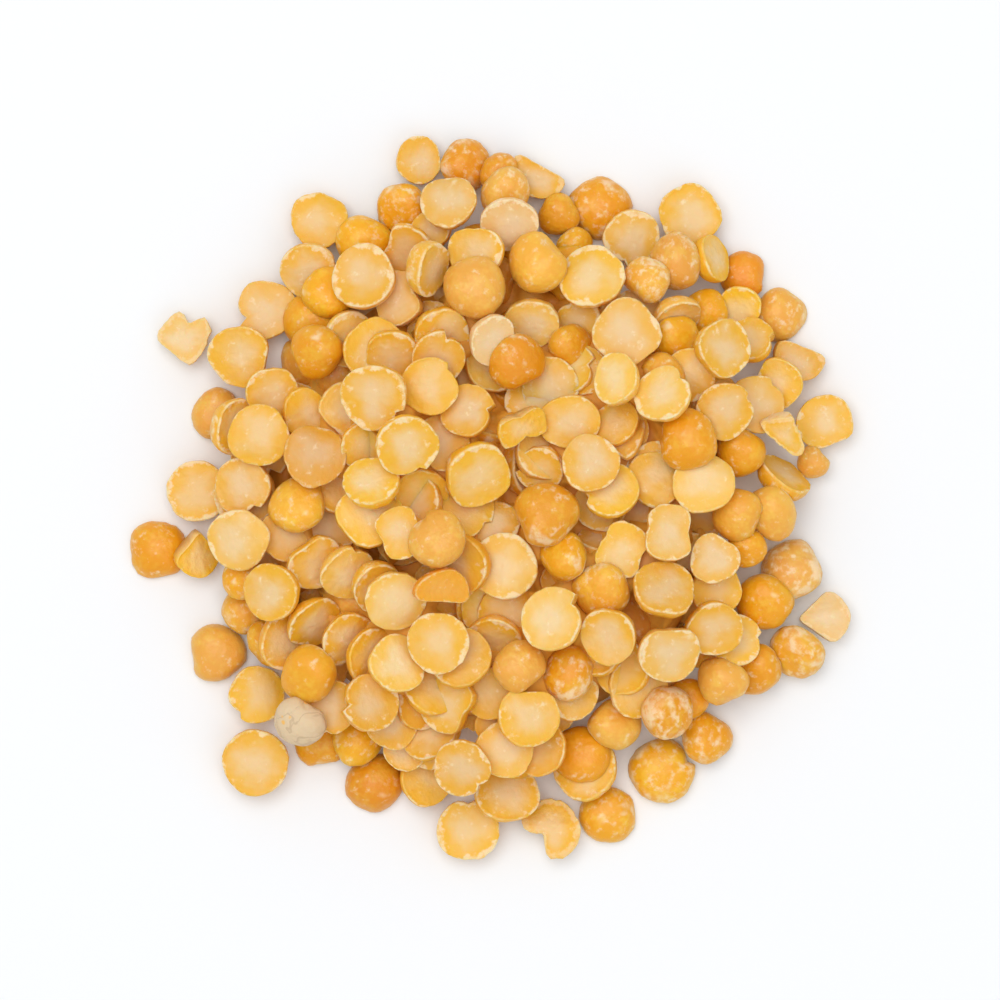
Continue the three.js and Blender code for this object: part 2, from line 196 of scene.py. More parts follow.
# rocks and slides in ever smaller steps while that brings the pea lower
def settlePea(pea):
    standing = pea["lie"] in ("edge", "steep")
    half = pea["width"] / 2
    thickness = heap["thickness"] * pea["width"]
    points = peaPoints[peaPoints[:, 0] < heap["cut"]] if pea["lie"] == "half" else peaPoints
    local = np.stack(
        [points[:, 0] * half, points[:, 1] * half, (points[:, 2] - heap["leanPoint"]) * thickness], 1
    )

    def restHeight(pose):
        p = local @ turnOf(pea, pose[2], pose[3]).T
        return max(0.0, float(np.max(heights[cellAt(pose[0] + p[:, 0], pose[1] + p[:, 1])] - p[:, 2])))

    reach = max(heap["pouredRadius"], math.hypot(pea["x"], pea["y"]))
    pose = [pea["x"], pea["y"], -pea["lean"] * math.sin(pea["low"]), pea["lean"] * math.cos(pea["low"])]
    best = restHeight(pose)
    leanStep = heap["rock"]["standing" if standing else "flat"]
    slideStep = pea["slide"]
    for turn in range(heap["rounds"]):
        for axis in range(4):
            for way in (-1, 1):
                step = slideStep if axis < 2 else leanStep
                moved = list(pose)
                moved[axis] += way * step
                inside = math.hypot(moved[0], moved[1]) < reach
                steady = standing or math.hypot(moved[2], moved[3]) < heap["leanMost"]
                if step > 0 and (inside if axis < 2 else steady):
                    height = restHeight(moved)
                    if height < best - heap["leastGain"]:
                        best = height
                        pose = moved
        leanStep *= heap["shrink"]
        slideStep *= heap["shrink"]
    pea["turn"] = turnOf(pea, pose[2], pose[3])
    p = local @ pea["turn"].T
    pea["middle"] = np.array([pose[0], pose[1], max(best - heap["bite"], float(np.max(-p[:, 2])))])
    top = p + pea["middle"]
    np.maximum.at(heights, cellAt(top[:, 0], top[:, 1]), top[:, 2])
    pea["faceMiddle"] = pea["middle"] - pea["turn"] @ np.array([0, 0, heap["leanPoint"] * thickness])
    return pea


def placedPeas(groups, slide):
    peas = []
    for lie, rows in groups.items():
        for row in rows:
            low = math.radians(row[3] if len(row) > 3 else draw(0, 360))
            flat = heap["lean"]["placed"] if len(row) == 4 else 0.0
            peas.append({
                "x": row[0], "y": row[1], "width": row[2], "lie": lie, "slide": slide, "low": low,
                "lean": heap["lean"].get(lie, flat),
                "shape": row[4] if len(row) > 4 else None, "place": row[:2],
            })
    return sorted(peas, key=lambda pea: -math.hypot(pea["x"], pea["y"]))


spreadSteps = (0.7548776662, 0.569840291)    # never fall into a pattern, so places spread evenly
pointsAround = 12


def spreadPlaces(turn, tries, radius):
    i = np.arange(turn * tries, (turn + 1) * tries)
    distance = radius * np.sqrt((i * spreadSteps[0]) % 1)
    bearing = 2 * math.pi * ((i * spreadSteps[1]) % 1)
    return distance * np.cos(bearing), distance * np.sin(bearing)


def cellsAround(x, y, reach):
    k = np.arange(pointsAround)
    r = reach * np.sqrt((k + 0.5) / pointsAround)
    return cellAt(x[:, None] + r * np.cos(k * goldenAngle), y[:, None] + r * np.sin(k * goldenAngle))


# a poured pea comes down where, of a few places, the heap lacks most
def pouredPea(count):
    x, y = spreadPlaces(count, heap["tries"], heap["pouredRadius"])
    around = heights[cellsAround(x, y, heap["levelReach"])]
    mound = heap["moundHeight"] * (1 - (np.hypot(x, y) / heap["moundRadius"]) ** heap["moundPower"])
    at = int(np.argmax(mound - around.sum(1) / pointsAround))
    pick = draw(0, 1)
    flat = "face" if pick < heap["faceUp"] else "dome"
    lie = flat if pick < heap["faceUp"] + heap["domeUp"] else "edge"
    low = draw(0, 2 * math.pi)
    lean = heap["lean"]["edge"] if lie == "edge" else draw(0, heap["lean"]["poured"])
    return {
        "x": float(x[at]), "y": float(y[at]), "width": draw(*heap["pouredWidth"]), "lie": lie, "low": low,
        "lean": lean, "slide": heap["slide"]["poured"], "shape": None, "place": None,
    }


def settleHeap():
    peas = [settlePea(pea) for pea in placedPeas(rimPeas, heap["slide"]["rim"])]
    peas += [settlePea(pouredPea(count)) for count in range(heap["pouredCount"])]
    for groups in (flankPeas, crownPeas, topPeas):
        peas += [settlePea(pea) for pea in placedPeas(groups, heap["slide"]["placed"])]
    return peas


peas = settleHeap()
print("settled", len(peas), "peas, top at", round(float(heights.max()), 2), "mm")

# peas of the layer below, which show only in the gaps
gaps = {
    "radius": 30, "count": 340, "tries": 60, "reach": 1.2, "leastGap": 1.3, "leastHeight": 2.2, "blurs": 90,
    "width": (5.6, 7.2), "lean": 0.6, "leans": 8,
    "step": 0.7,         # what stands this much over a gap's floor counts as its edge
    "tuck": 1.2,         # how far a pea lies under the edge of its gap
    "leastShown": 0.3,   # and how far at least it stands over the gap's floor
    "leastCells": 26,    # a pea that shows in fewer grid cells would be a sliver
}


def blurred(grid, times):
    for turn in range(times):
        rows = np.roll(grid, 1, 0) + np.roll(grid, -1, 0)
        grid = (grid + rows + np.roll(grid, 1, 1) + np.roll(grid, -1, 1)) / 5
    return grid


# of a few leans, the one that lets the pea come up highest under the edge of the gap
def gapPea(x, y, floor):
    pick = draw(0, 1)
    overPeas = floor > heap["bedHeight"] + gaps["step"]    # a dome would come up through a face there
    lie = "face" if overPeas or pick < heap["faceUp"] else "dome"
    pea = {"lie": lie, "low": draw(0, 2 * math.pi), "width": draw(*gaps["width"])}
    pea.update(shape=None, place=None)
    half, thickness = pea["width"] / 2, heap["thickness"] * pea["width"]
    local = peaPoints * (half, half, thickness) - (0, 0, heap["leanPoint"] * thickness)
    best = None
    for turn in range(gaps["leans"]):
        way, lean = draw(0, 2 * math.pi), draw(0, gaps["lean"])
        turned = turnOf(pea, lean * math.cos(way), lean * math.sin(way))
        p = local @ turned.T
        under = heights[cellAt(x + p[:, 0], y + p[:, 1])]
        edge = under > floor + gaps["step"]
        room = float((under - p[:, 2])[edge].min()) - gaps["tuck"] if edge.any() else floor + gaps["step"]
        if best is None or room > best[0]:
            best = (room, turned, p)
    room, pea["turn"], p = best
    near = np.hypot(p[:, 0], p[:, 1]) < gaps["reach"]
    if room + p[near, 2].max() < floor + gaps["leastShown"] or room + p[:, 2].min() < 0:
        return None
    pea["middle"] = np.array([x, y, room])
    p = p + pea["middle"]
    cells = cellAt(p[:, 0], p[:, 1])
    if len(np.unique(cells[p[:, 2] > heights[cells]])) < gaps["leastCells"]:
        return None
    np.maximum.at(heights, cells, p[:, 2])
    pea["faceMiddle"] = pea["middle"] - pea["turn"] @ np.array([0, 0, heap["leanPoint"] * thickness])
    return pea


def fillGaps():
    level = blurred(heights.reshape(cellsAcross, cellsAcross), gaps["blurs"]).ravel()
    fillers = []
    for count in range(gaps["count"]):
        x, y = spreadPlaces(count, gaps["tries"], gaps["radius"])
        cells = cellsAround(x, y, gaps["reach"])
        gap = np.where(level[cellAt(x, y)] > gaps["leastHeight"], (level[cells] - heights[cells]).mean(1), 0)
        at = int(np.argmax(gap))
        if gap[at] > gaps["leastGap"]:
            pea = gapPea(float(x[at]), float(y[at]), float(heights[cells[at]].mean()))
            if pea:
                fillers.append(pea)
    return fillers


gapPeas = fillGaps()
print("filled", len(gapPeas), "gaps")

# the shapes of single peas, in half widths with the flat face at zero height, the feature at bearing 0
# cuts: bearing and distance of a straight side; notches: bearing, half angle, depth
# steps: bearing, angle over which the rim comes back, depth; crease: bearing, distance, fall beyond it
wholeShapes = {
    "round": {},
    "oval": {"oval": 0.08},
    "egg": {"oval": 0.05, "egg": 0.06},
    "squarish": {"corners": 0.045},
    "flatSide": {"cuts": [(0, 0.76)]},
    "twoSides": {"cuts": [(0, 0.78), (125, 0.84)], "oval": 0.03},
    "notched": {"notches": [(0, 15, 0.16)]},
    "stepped": {"steps": [(0, 60, 0.2)]},
    "hooked": {"steps": [(0, 75, 0.3)], "oval": 0.03},
    "kidney": {"notches": [(0, 48, 0.2)], "oval": -0.05},
    "waisted": {
        "cuts": [(0, 0.78), (180, 0.8), (90, 0.95), (-90, 0.95)], "notches": [(0, 50, 0.15), (200, 22, 0.12)],
    },
    "creased": {"crease": (0, 0.3, 0.3)},
    "halfCreased": {"crease": (0, 0.2, 0.36), "steps": [(150, 40, 0.16)]},
    "chipped": {"crease": (0, 0.55, 0.6), "cuts": [(0, 0.9)]},
    "hollow": {"dish": 0.08, "oval": 0.03},
}
brokenShapes = {
    "halfMoon": {"cuts": [(0, 0.14)], "centre": (-0.38, 0), "wall": 1},
    "straightEdge": {"cuts": [(0, 0.34)], "centre": (-0.3, 0), "wall": 1},
    "lump": {
        "cuts": [(0, 0.16), (118, 0.72), (205, 0.7)], "centre": (-0.25, -0.05), "wall": 1, "ragged": 0.1,
        "crease": (60, -0.1, 0.6),
    },
    "fan": {"cuts": [(50, 0.5), (-50, 0.5)], "centre": (-0.1, 0), "wall": 1, "crease": (75, 0.02, 0.5)},
    "elbow": {
        "cuts": [(0, 0.72)], "notches": [(6, 42, 0.5)], "centre": (-0.18, 0), "wall": 0.5, "ragged": 0.09,
        "crease": (130, 0.1, 0.5),
    },
    "cleft": {
        "notches": [(4, 20, 0.5), (75, 16, 0.12)], "cuts": [(112, 0.82), (-152, 0.66), (-60, 0.8)],
        "centre": (-0.1, 0.05), "wall": 0.5, "ragged": 0.12, "crease": (-40, 0.1, 0.4),
    },
    "bowTie": {
        "cuts": [(0, 0.5), (180, 0.56)], "notches": [(0, 40, 0.2), (180, 34, 0.12)], "centre": (-0.03, 0),
        "wall": 0.6, "sharp": True, "thin": 0.75,
    },
}
peaMaking = {
    "segments": 36,
    "variants": 3,              # each shape comes with this many different rims
    "faceRings": (0.35, 0.62, 0.82, 0.93),
    "domeRings": (1.0, 0.985, 0.95, 0.89, 0.8, 0.66, 0.48, 0.25),
    "domeSpans": (1.12, 1.18, 1.27, 1.38, 1.5, 1.64, 1.78, 1.9),
    "ragged": 0.03,             # depth of the chips along the rim
    "lip": 0.022,               # how far the torn rim stands up
    "lipAt": 0.975,
    "rimDrop": 0.03,            # from the face down to the outline, then to the dome's first ring
    "wallDrop": 0.05,
    "overRim": 0.985,           # the dome starts a little inside a full curve, as a low wall
    "waves": (0.024, 0.014),    # three and five slow waves round the outline
    "leastReach": 0.12,
    "dish": (-0.02, 0.035),     # hollow or bulge of the face
    "thickness": (0.9, 1.0),    # share of the usual thickness
    "domePower": (2.2, 2.9),
    "tornFrom": 0.93,           # an outline this far inside the full curve starts to count as a break
    "tornOver": 0.1,
    "tornSpans": (0.97, 1.15),  # from the lip to the first ring of the dome
    "seed": 5,
}


def smoothRound(values, times):
    for turn in range(times):
        values = 0.25 * np.roll(values, 1) + 0.5 * values + 0.25 * np.roll(values, -1)
    return values


# outline of a pea as reach from the shape's centre, with straight cuts and notches taken off
def peaOutline(shape, angles, rng):
    centre = np.array(shape.get("centre", (0.0, 0.0)), float)
    direction = np.stack([np.cos(angles), np.sin(angles)], 1)
    phase = rng.uniform(0, 2 * math.pi, 2)

    def baseRadius(x, y):
        bearing = np.arctan2(y, x)
        radius = 1 + shape.get("oval", 0.0) * np.cos(2 * bearing) + shape.get("egg", 0.0) * np.cos(bearing)
        radius = radius - shape.get("corners", 0.0) * np.cos(4 * bearing)
        radius = radius + peaMaking["waves"][0] * np.cos(3 * bearing + phase[0])
        radius = radius + peaMaking["waves"][1] * np.cos(5 * bearing + phase[1])
        return peaMaking["overRim"] * radius / (1 + abs(shape.get("oval", 0.0)))

    steps = np.linspace(0, 2.2, 1101)
    x = centre[0] + steps[None, :] * direction[:, :1]
    y = centre[1] + steps[None, :] * direction[:, 1:]
    inside = np.hypot(x, y) < baseRadius(x, y)
    reach = steps[np.argmin(inside, 1)]
    for bearing, distance in shape.get("cuts", []):
        n = np.array([math.cos(math.radians(bearing)), math.sin(math.radians(bearing))])
        along = direction @ n
        room = distance - centre @ n
        reach = np.where(along > 1e-3, np.minimum(reach, room / np.maximum(along, 1e-3)), reach)
    reach = reach if shape.get("sharp") else smoothRound(reach, 1)
    for bearing, halfAngle, depth in shape.get("notches", []):
        away = np.abs((np.degrees(angles) - bearing + 180) % 360 - 180)
        reach = reach - depth * np.clip(1 - away / halfAngle, 0, 1) ** 0.8
    for bearing, width, depth in shape.get("steps", []):
        past = (np.degrees(angles) - bearing + 360) % 360
        reach = reach - depth * np.clip(1 - past / width, 0, 1) ** 1.4
    ragged = shape.get("ragged", peaMaking["ragged"])
    chips = ragged * rng.random(len(angles)) ** 5 + 0.3 * ragged * rng.random(len(angles))
    reach = np.maximum(reach * (1 - chips), peaMaking["leastReach"])
    return centre, centre + reach[:, None] * direction, baseRadius


# rings of points between a first and a last single point, as one closed mesh
def ringMesh(name, points, sides):
    last = len(points) - 1
    faces = []
    for j in range(sides):
        nextJ = (j + 1) % sides
        faces.append((0, 1 + nextJ, 1 + j))
        for a in range(1, last - sides, sides):
            faces.append((a + j, a + nextJ, a + sides + nextJ, a + sides + j))
        faces.append((last - sides + j, last - sides + nextJ, last))
    mesh = bpy.data.meshes.new(name)
    mesh.from_pydata(points, [], faces)
    bm = bmesh.new()
    bm.from_mesh(mesh)
    bmesh.ops.recalc_face_normals(bm, faces=bm.faces)
    bm.to_mesh(mesh)
    bm.free()
    return mesh


def setAttribute(mesh, name, kind, values):
    field = "vector" if kind == "FLOAT_VECTOR" else "value"
    values = np.asarray(values, np.int32 if kind == "INT" else np.float32).ravel()
    mesh.attributes.new(name, kind, "POINT").data.foreach_set(field, values)


def peaMesh(name, shape, rng):
    count = peaMaking["segments"]
    angles = 2 * math.pi * np.arange(count) / count
    centre, outline, baseRadius = peaOutline(shape, angles, rng)
    fallAt, fall = 9.0, 0.0
    fallWay = np.array([1.0, 0.0])
    if "crease" in shape:
        bearing, fallAt, fall = shape["crease"]
        fallWay = np.array([math.cos(math.radians(bearing)), math.sin(math.radians(bearing))])
    dish = shape.get("dish", 0.0) + rng.uniform(*peaMaking["dish"])
    thickness = 2 * heap["thickness"] * rng.uniform(*peaMaking["thickness"]) * shape.get("thin", 1.0)
    power = rng.uniform(*peaMaking["domePower"])
    wall = shape.get("wall", 0.0)

    def faceHeight(p, s):
        return dish * (1 - s * s) + fall * np.maximum(0, p @ fallWay - fallAt)

    def domeHeight(p, k):
        own = np.hypot(p[:, 0], p[:, 1]) / baseRadius(p[:, 0], p[:, 1])
        share = peaMaking["overRim"] * np.clip((1 - wall) * k + wall * own, 0, 1)
        return thickness * (1 - share ** power) ** (1 / power)

    rings = []
    for s in peaMaking["faceRings"]:
        p = centre + s * (outline - centre)
        rings.append((p, faceHeight(p, s), s))
    p = centre + peaMaking["lipAt"] * (outline - centre)
    lip = peaMaking["lip"] * (0.4 + 1.2 * rng.random(count) ** 2)
    rings.append((p, faceHeight(p, 1.0) - lip, peaMaking["lipAt"]))
    rimHeight = faceHeight(outline, 1.0)
    rings.append((outline, rimHeight + peaMaking["rimDrop"], 1.0))
    for k, span in zip(peaMaking["domeRings"], peaMaking["domeSpans"]):
        p = centre + k * (outline - centre)
        lowest = rimHeight + peaMaking["wallDrop"] + 0.04 * (1 - k)
        rings.append((p, np.maximum(domeHeight(p, k), lowest), span))

    points = [np.array([[centre[0], centre[1], faceHeight(centre[None, :], 0.0)[0]]])]
    spans = [np.zeros(1)]
    breaks = [np.zeros(1)]
    own = np.hypot(outline[:, 0], outline[:, 1]) / baseRadius(outline[:, 0], outline[:, 1])
    torn = np.clip((peaMaking["tornFrom"] - own) / peaMaking["tornOver"], 0, 1)
    tornLow, tornHigh = peaMaking["tornSpans"]
    for p, z, span in rings:
        points.append(np.column_stack([p, z]))
        spans.append(np.full(count, span))
        breaks.append(torn * (1.0 if tornLow < span < tornHigh else 0.0))
    apex = domeHeight(centre[None, :], 0.0)[0]
    points.append(np.array([[centre[0], centre[1], apex]]))
    spans.append(np.full(1, 2.0))
    breaks.append(np.zeros(1))
    points = np.concatenate(points)
    mesh = ringMesh(name, points.tolist(), count)
    setAttribute(mesh, "peaPos", "FLOAT_VECTOR", points)
    setAttribute(mesh, "span", "FLOAT", np.concatenate(spans))
    setAttribute(mesh, "torn", "FLOAT", np.concatenate(breaks))
    return mesh


# every shape with its variants in one collection, and the number of each in it
def shapeCollection(name, shapes):
    collection = bpy.data.collections.new(name)
    bpy.context.scene.collection.children.link(collection)
    rng = np.random.default_rng(peaMaking["seed"])
    numbers = {}
    for shapeName, shape in shapes.items():
        numbers[shapeName] = []
        for variant in range(peaMaking["variants"]):
            number = len(collection.objects)
            mesh = peaMesh(f"{name}{number:03d}", shape, rng)
            collection.objects.link(bpy.data.objects.new(mesh.name, mesh))
            numbers[shapeName].append(number)
    return collection, numbers


wholeCollection, wholeNumbers = shapeCollection("wholePea", wholeShapes)
brokenCollection, brokenNumbers = shapeCollection("brokenPea", brokenShapes)


def addNode(tree, kind, inputs=None, **settings):
    node = tree.nodes.new(kind)
    for key, value in settings.items():
        setattr(node, key, value)
    for key, value in (inputs or {}).items():
        if isinstance(value, bpy.types.NodeSocket):
            tree.links.new(value, node.inputs[key])
        else:
            node.inputs[key].default_value = value
    return node


# sockets by name: a word is the kind of socket, a number or a colour is the value it starts with
def newTree(name, kind, inputs, outputs):
    tree = bpy.data.node_groups.new(name, kind)
    for way, sockets in (("INPUT", inputs), ("OUTPUT", outputs)):
        for socketName, value in sockets.items():
            word = value if isinstance(value, str) else "Color" if isinstance(value, tuple) else "Float"
            socket = tree.interface.new_socket(name=socketName, in_out=way, socket_type="NodeSocket" + word)
            if not isinstance(value, str):
                socket.default_value = value
    return tree, addNode(tree, "NodeGroupInput"), addNode(tree, "NodeGroupOutput")


def calc(tree, operation, a, b=None):
    inputs = {0: a} if b is None else {0: a, 1: b}
    return addNode(tree, "ShaderNodeMath", inputs, operation=operation).outputs[0]


def calcVector(tree, operation, a, b=None):
    inputs = {0: a} if b is None else {0: a, "Scale" if operation == "SCALE" else 1: b}
    return addNode(tree, "ShaderNodeVectorMath", inputs, operation=operation).outputs[0]


# puts a pea on each point, turned and sized by the point's attributes, and warps each one in its own way
def scatterTree():
    tree, given, result = newTree("scatterPeas", "GeometryNodeTree", {
        "Places": "Geometry", "Shapes": "Collection", "Warp": 0.1, "Warp Scale": 0.8, "Dents": 0.02,
        "Dent Scale": 3.0, "Seed": 1.0, "Finish": "Material",
    }, {"Peas": "Geometry"})
    tree.is_modifier = True
    named = {}
    for name, kind in (
        ("turn", "QUATERNION"), ("size", "FLOAT"), ("shape", "INT"), ("peaPos", "FLOAT_VECTOR"),
        ("shift", "FLOAT_VECTOR"),
    ):
        node = addNode(tree, "GeometryNodeInputNamedAttribute", {"Name": name}, data_type=kind)
        named[name] = node.outputs["Attribute"]
    shapes = addNode(
        tree, "GeometryNodeCollectionInfo",
        {"Collection": given.outputs["Shapes"], "Separate Children": True, "Reset Children": True},
    )
    placed = addNode(tree, "GeometryNodeInstanceOnPoints", {
        "Points": given.outputs["Places"], "Instance": shapes.outputs[0], "Pick Instance": True,
        "Instance Index": named["shape"], "Rotation": named["turn"], "Scale": named["size"],
    })
    real = addNode(tree, "GeometryNodeRealizeInstances", {"Geometry": placed.outputs[0]})
    where = calcVector(tree, "ADD", named["peaPos"], named["shift"])
    moves = []
    for amount, scale in (("Warp", "Warp Scale"), ("Dents", "Dent Scale")):
        noise = addNode(
            tree, "ShaderNodeTexNoise",
            {"Vector": where, "W": given.outputs["Seed"], "Scale": given.outputs[scale], "Detail": 1.0},
            noise_dimensions="4D",
        )
        centred = calcVector(tree, "SUBTRACT", noise.outputs["Color"], (0.5, 0.5, 0.5))
        grown = calc(tree, "MULTIPLY", given.outputs[amount], named["size"])
        moves.append(calcVector(tree, "SCALE", centred, grown))
    moved = calcVector(tree, "ADD", *moves)
    warped = addNode(tree, "GeometryNodeSetPosition", {"Geometry": real.outputs[0], "Offset": moved})
    smooth = addNode(tree, "GeometryNodeSetShadeSmooth", {0: warped.outputs[0], "Shade Smooth": True})
    finished = addNode(
        tree, "GeometryNodeSetMaterial", {"Geometry": smooth.outputs[0], "Material": given.outputs["Finish"]}
    )
    tree.links.new(finished.outputs[0], result.inputs[0])
    return tree


peaScatter = scatterTree()


def mixColor(tree, factor, a, b):
    node = addNode(tree, "ShaderNodeMix", {0: factor, 6: a, 7: b}, data_type="RGBA")
    return node.outputs[2]


def rise(tree, value, low, high, toLow=0.0, toHigh=1.0):
    inputs = {"Value": value, "From Min": low, "From Max": high, "To Min": toLow, "To Max": toHigh}
    return addNode(tree, "ShaderNodeMapRange", inputs, interpolation_type="SMOOTHSTEP").outputs[0]


def cloud(tree, place, scale, detail=2.0, roughness=0.5):
    inputs = {"Vector": place, "Scale": scale, "Detail": detail, "Roughness": roughness}
    return addNode(tree, "ShaderNodeTexNoise", inputs).outputs["Fac"]


# where on its own pea a point is: place and direction for patterns, and the span, which is 0 in the middle
# of the face, 1 at its rim and 2 on top of the dome
def peaPlaceGroup():
    tree, _, result = newTree("peaPlace", "ShaderNodeTree", {}, {
        "Place": "Vector", "Around": "Vector", "Span": "Float", "Torn": "Float",
        "Orange": "Float", "Light": "Float", "Chalk": "Float",
    })
    read = {}
    for name in ("peaPos", "shift", "tint", "span", "torn"):
        read[name] = addNode(tree, "ShaderNodeAttribute", attribute_name=name).outputs
    pos, shift = read["peaPos"]["Vector"], read["shift"]["Vector"]
    tint = addNode(tree, "ShaderNodeSeparateXYZ", {0: read["tint"]["Vector"]}).outputs
    outward = calcVector(tree, "NORMALIZE", calcVector(tree, "MULTIPLY", pos, (1.0, 1.0, 0.0)))
    found = [calcVector(tree, "ADD", pos, shift), calcVector(tree, "ADD", outward, shift)]
    found += [read["span"]["Fac"], read["torn"]["Fac"], *tint]
    for number, socket in enumerate(found):
        tree.links.new(socket, result.inputs[number])
    return tree


wholeFinish = {
    # Face Middle, Face Edge and Dome Edge carry painted light as well as the flesh's own colour: a sheen in
    # the middle, light through the rim, a reflection at the dome's edge
    "tones": {
        "Face Middle": (0.81, 0.57, 0.28, 1), "Face Edge": (0.82, 0.44, 0.022, 1),
        "Dome": (0.83, 0.37, 0.006, 1), "Dome Edge": (0.84, 0.42, 0.02, 1),
        "Deep": (0.84, 0.28, 0.006, 1), "Face Deep": (0.83, 0.43, 0.03, 1),
        "Pale": (0.87, 0.71, 0.45, 1), "Mottle": (0.86, 0.48, 0.03, 1),
    },
    "chalk": (0.93, 0.79, 0.54, 1),
    "rimWidth": 0.17, "rimCover": 0.5, "rimChalk": 0.2, "rimPale": 0.68, "scuffs": 0.45, "scuffPale": 0.62,
    "faceRoughness": 0.48, "domeRoughness": 0.34, "chalkRoughness": 0.85, "shine": 0.42,
    "bump": 0.4, "bumpDepth": 0.0003,
    "glow": 0.3, "glowRadius": (1.0, 0.35, 0.12), "glowDepth": 0.0012,
}
brokenFinish = dict(
    wholeFinish, scuffs=0.8, rimPale=0.4, bump=0.6, torn=(0.9, 0.66, 0.34, 1), tornPale=0.45,
    tones=dict(wholeFinish["tones"], **{"Face Deep": (0.84, 0.37, 0.015, 1)}),
)


# pale peach in the face's middle, golden to its rim, orange-yellow on the dome; partly the flesh's own colour
# and partly painted light: the pale middle is a painted sheen, the golden rim is painted light shining
# through the thin edge, and the dome's lighter edge is a painted reflection
def peaToneGroup():
    tree, given, result = newTree("peaTone", "ShaderNodeTree", {
        "Place": "Vector", "Span": 0.5, "Orange": 0.0, "Light": 0.0, **wholeFinish["tones"],
    }, {"Color": "Color"})
    place, span, orange, light = (given.outputs[name] for name in ("Place", "Span", "Orange", "Light"))
    tones = {name: given.outputs[name] for name in wholeFinish["tones"]}
    blotch = calc(tree, "SUBTRACT", cloud(tree, place, 1.3), 0.5)
    wander = calc(tree, "ADD", span, calc(tree, "MULTIPLY", blotch, 1.3))
    # partly painted light: the pale middle stands for a sheen, the golden band for light shining through the
    # thin rim
    face = mixColor(tree, rise(tree, wander, 0.08, 0.98), tones["Face Middle"], tones["Face Edge"])
    toTop = calc(tree, "SUBTRACT", span, calc(tree, "MULTIPLY", blotch, 0.9))
    # partly painted reflection: the dome is lighter towards its edge, as if it mirrored the bright
    # surroundings
    skin = mixColor(tree, rise(tree, toTop, 1.05, 1.6), tones["Dome Edge"], tones["Dome"])
    fine = calc(tree, "MULTIPLY", cloud(tree, place, 6.0), 0.35)
    mottle = calc(tree, "ADD", cloud(tree, place, 1.5, 3.0, 0.55), fine)
    dome = mixColor(tree, rise(tree, mottle, 0.6, 0.95), skin, tones["Mottle"])
    overRim = rise(tree, span, 0.995, 1.07)
    deep = mixColor(tree, overRim, tones["Face Deep"], tones["Deep"])
    both = mixColor(tree, overRim, face, dome)
    # the pea's own warmth; for the lower peas in the gaps the extra orange is painted shade
    warm = mixColor(tree, calc(tree, "MAXIMUM", orange, 0.0), both, deep)
    paler = calc(tree, "MAXIMUM", calc(tree, "MULTIPLY", orange, -1.0), 0.0)
    mild = mixColor(tree, paler, warm, tones["Pale"])
    tone = addNode(tree, "ShaderNodeHueSaturation", {
        "Hue": calc(tree, "ADD", calc(tree, "MULTIPLY", light, 0.1), 0.5),    # a darker pea is warmer
        "Value": calc(tree, "ADD", light, 1.0), "Color": mild,
    })
    tree.links.new(tone.outputs[0], result.inputs["Color"])
    return tree


# pale crumbled rim: a thin broken line, and here and there a wider lumpy crust
def rimWearGroup():
    tree, given, result = newTree("rimWear", "ShaderNodeTree", {
        "Place": "Vector", "Around": "Vector", "Span": 0.5, "Width": 0.2, "Cover": 0.5,
    }, {"Mask": "Float"})
    span = given.outputs["Span"]
    wide = cloud(tree, given.outputs["Around"], 1.3)
    patch = calc(tree, "ADD", wide, calc(tree, "SUBTRACT", given.outputs["Cover"], 0.5))
    lumps = cloud(tree, given.outputs["Place"], 5.0, 3.0, 0.6)
    crust = calc(tree, "MULTIPLY", rise(tree, patch, 0.5, 0.72), given.outputs["Width"])
    uneven = calc(tree, "MULTIPLY", calc(tree, "SUBTRACT", lumps, 0.5), 0.35)
    inside = calc(tree, "ADD", calc(tree, "SUBTRACT", span, 0.965), calc(tree, "ADD", crust, uneven))
    torn = calc(tree, "MULTIPLY", rise(tree, inside, -0.04, 0.06), rise(tree, span, 0.99, 1.05, 1.0, 0.0))
    holes = rise(tree, lumps, 0.36, 0.56, 0.4, 1.0)
    broken = calc(tree, "MULTIPLY", holes, rise(tree, patch, 0.34, 0.52, 0.2, 1.0))
    tree.links.new(calc(tree, "MULTIPLY", torn, broken), result.inputs["Mask"])
    return tree


# whitish crumbs, thickest just below the rim, with a few larger bare patches
def chalkScuffsGroup():
    tree, given, result = newTree("chalkScuffs", "ShaderNodeTree", {
        "Place": "Vector", "Span": 0.5, "Amount": 0.5, "Spot Scale": 3.4,
    }, {"Mask": "Float"})
    place, span, amount = (given.outputs[name] for name in ("Place", "Span", "Amount"))
    onDome = calc(tree, "MULTIPLY", rise(tree, span, 1.0, 1.08), rise(tree, span, 1.15, 1.8, 1.0, 0.45))
    near = calc(tree, "ADD", onDome, rise(tree, span, 0.75, 1.0, 0.05, 0.3))
    wanted = calc(tree, "MULTIPLY", near, amount)
    spots = cloud(tree, place, given.outputs["Spot Scale"], 3.0, 0.62)
    small = rise(tree, calc(tree, "ADD", spots, calc(tree, "MULTIPLY", wanted, 0.1)), 0.58, 0.8)
    gather = cloud(tree, place, 1.1, 2.0, 0.6)
    large = rise(tree, calc(tree, "ADD", gather, calc(tree, "MULTIPLY", wanted, 0.12)), 0.68, 0.8)
    patches = calc(tree, "MULTIPLY", large, rise(tree, spots, 0.34, 0.56, 0.25, 1.0))
    tree.links.new(calc(tree, "MAXIMUM", small, patches), result.inputs["Mask"])
    return tree


